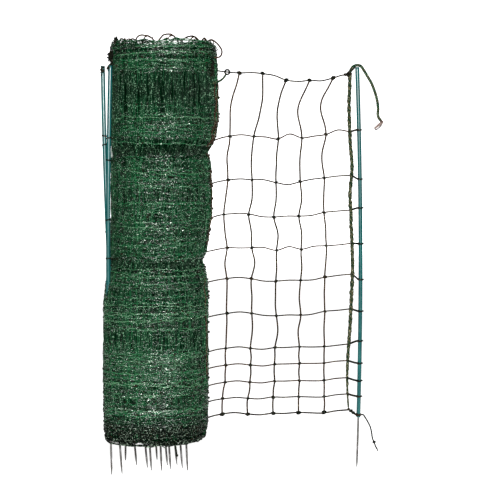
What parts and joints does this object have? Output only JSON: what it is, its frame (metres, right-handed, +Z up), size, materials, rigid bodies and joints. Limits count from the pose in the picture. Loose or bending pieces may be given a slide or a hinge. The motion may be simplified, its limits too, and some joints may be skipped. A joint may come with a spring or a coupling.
{
  "type": "electric poultry netting",
  "caption": "Electric poultry netting with its posts: most of it stands rolled up on the post spikes, and the last stretch is unrolled to the end post.",
  "frame": {"origin": "on the ground at the middle of the footprint of the roll, the posts and the net, without the loose leads", "axes": "+Z up along the posts; +X from the roll to the end post along the unrolled net; +Y away from the viewer of the picture"},
  "size_m": [0.8633, 0.328, 1.328],
  "materials": {
    "netting_green": "dark green polywire netting in many turns, shiny twisted strands",
    "netting_brown": "brown-green twisted polywire with darker knots",
    "cord_green": "several green polywires twisted into one cord, speckled with tan",
    "post_plastic": "teal green extruded plastic rod, satin gloss",
    "spike_steel": "galvanised steel, dull and slightly stained at the tip",
    "clip_steel": "plated steel"
  },
  "bodies": {
    "root": {"net_roll": "netting_green", "net_panel": "netting_brown", "end_cord": "cord_green", "post_01": "post_plastic", "spike_01": "spike_steel", "post_02": "post_plastic", "spike_02": "spike_steel", "post_03": "post_plastic", "spike_03": "spike_steel", "post_04": "post_plastic", "spike_04": "spike_steel", "post_05": "post_plastic", "spike_05": "spike_steel", "post_06": "post_plastic", "spike_06": "spike_steel", "post_07": "post_plastic", "spike_07": "spike_steel", "post_08": "post_plastic", "spike_08": "spike_steel", "post_09": "post_plastic", "spike_09": "spike_steel", "post_10": "post_plastic", "spike_10": "spike_steel", "post_11": "post_plastic", "spike_11": "spike_steel", "post_12": "post_plastic", "spike_12": "spike_steel", "post_13": "post_plastic", "spike_13": "spike_steel", "post_14": "post_plastic", "spike_14": "spike_steel", "post_tie_02": "netting_brown", "post_tie_03": "netting_brown", "post_tie_04": "netting_brown", "post_tie_05": "netting_brown", "post_tie_06": "netting_brown", "post_tie_07": "netting_brown", "post_tie_08": "netting_brown", "post_tie_09": "netting_brown", "post_tie_10": "netting_brown", "post_tie_11": "netting_brown", "foot_tie": "netting_brown", "lead_cord": "cord_green", "lead_clip": "clip_steel", "ground_tail": "netting_brown", "ring_lead": "cord_green", "lead_eye": "cord_green", "roll_tail": "netting_brown"}
  },
  "joints": []
}
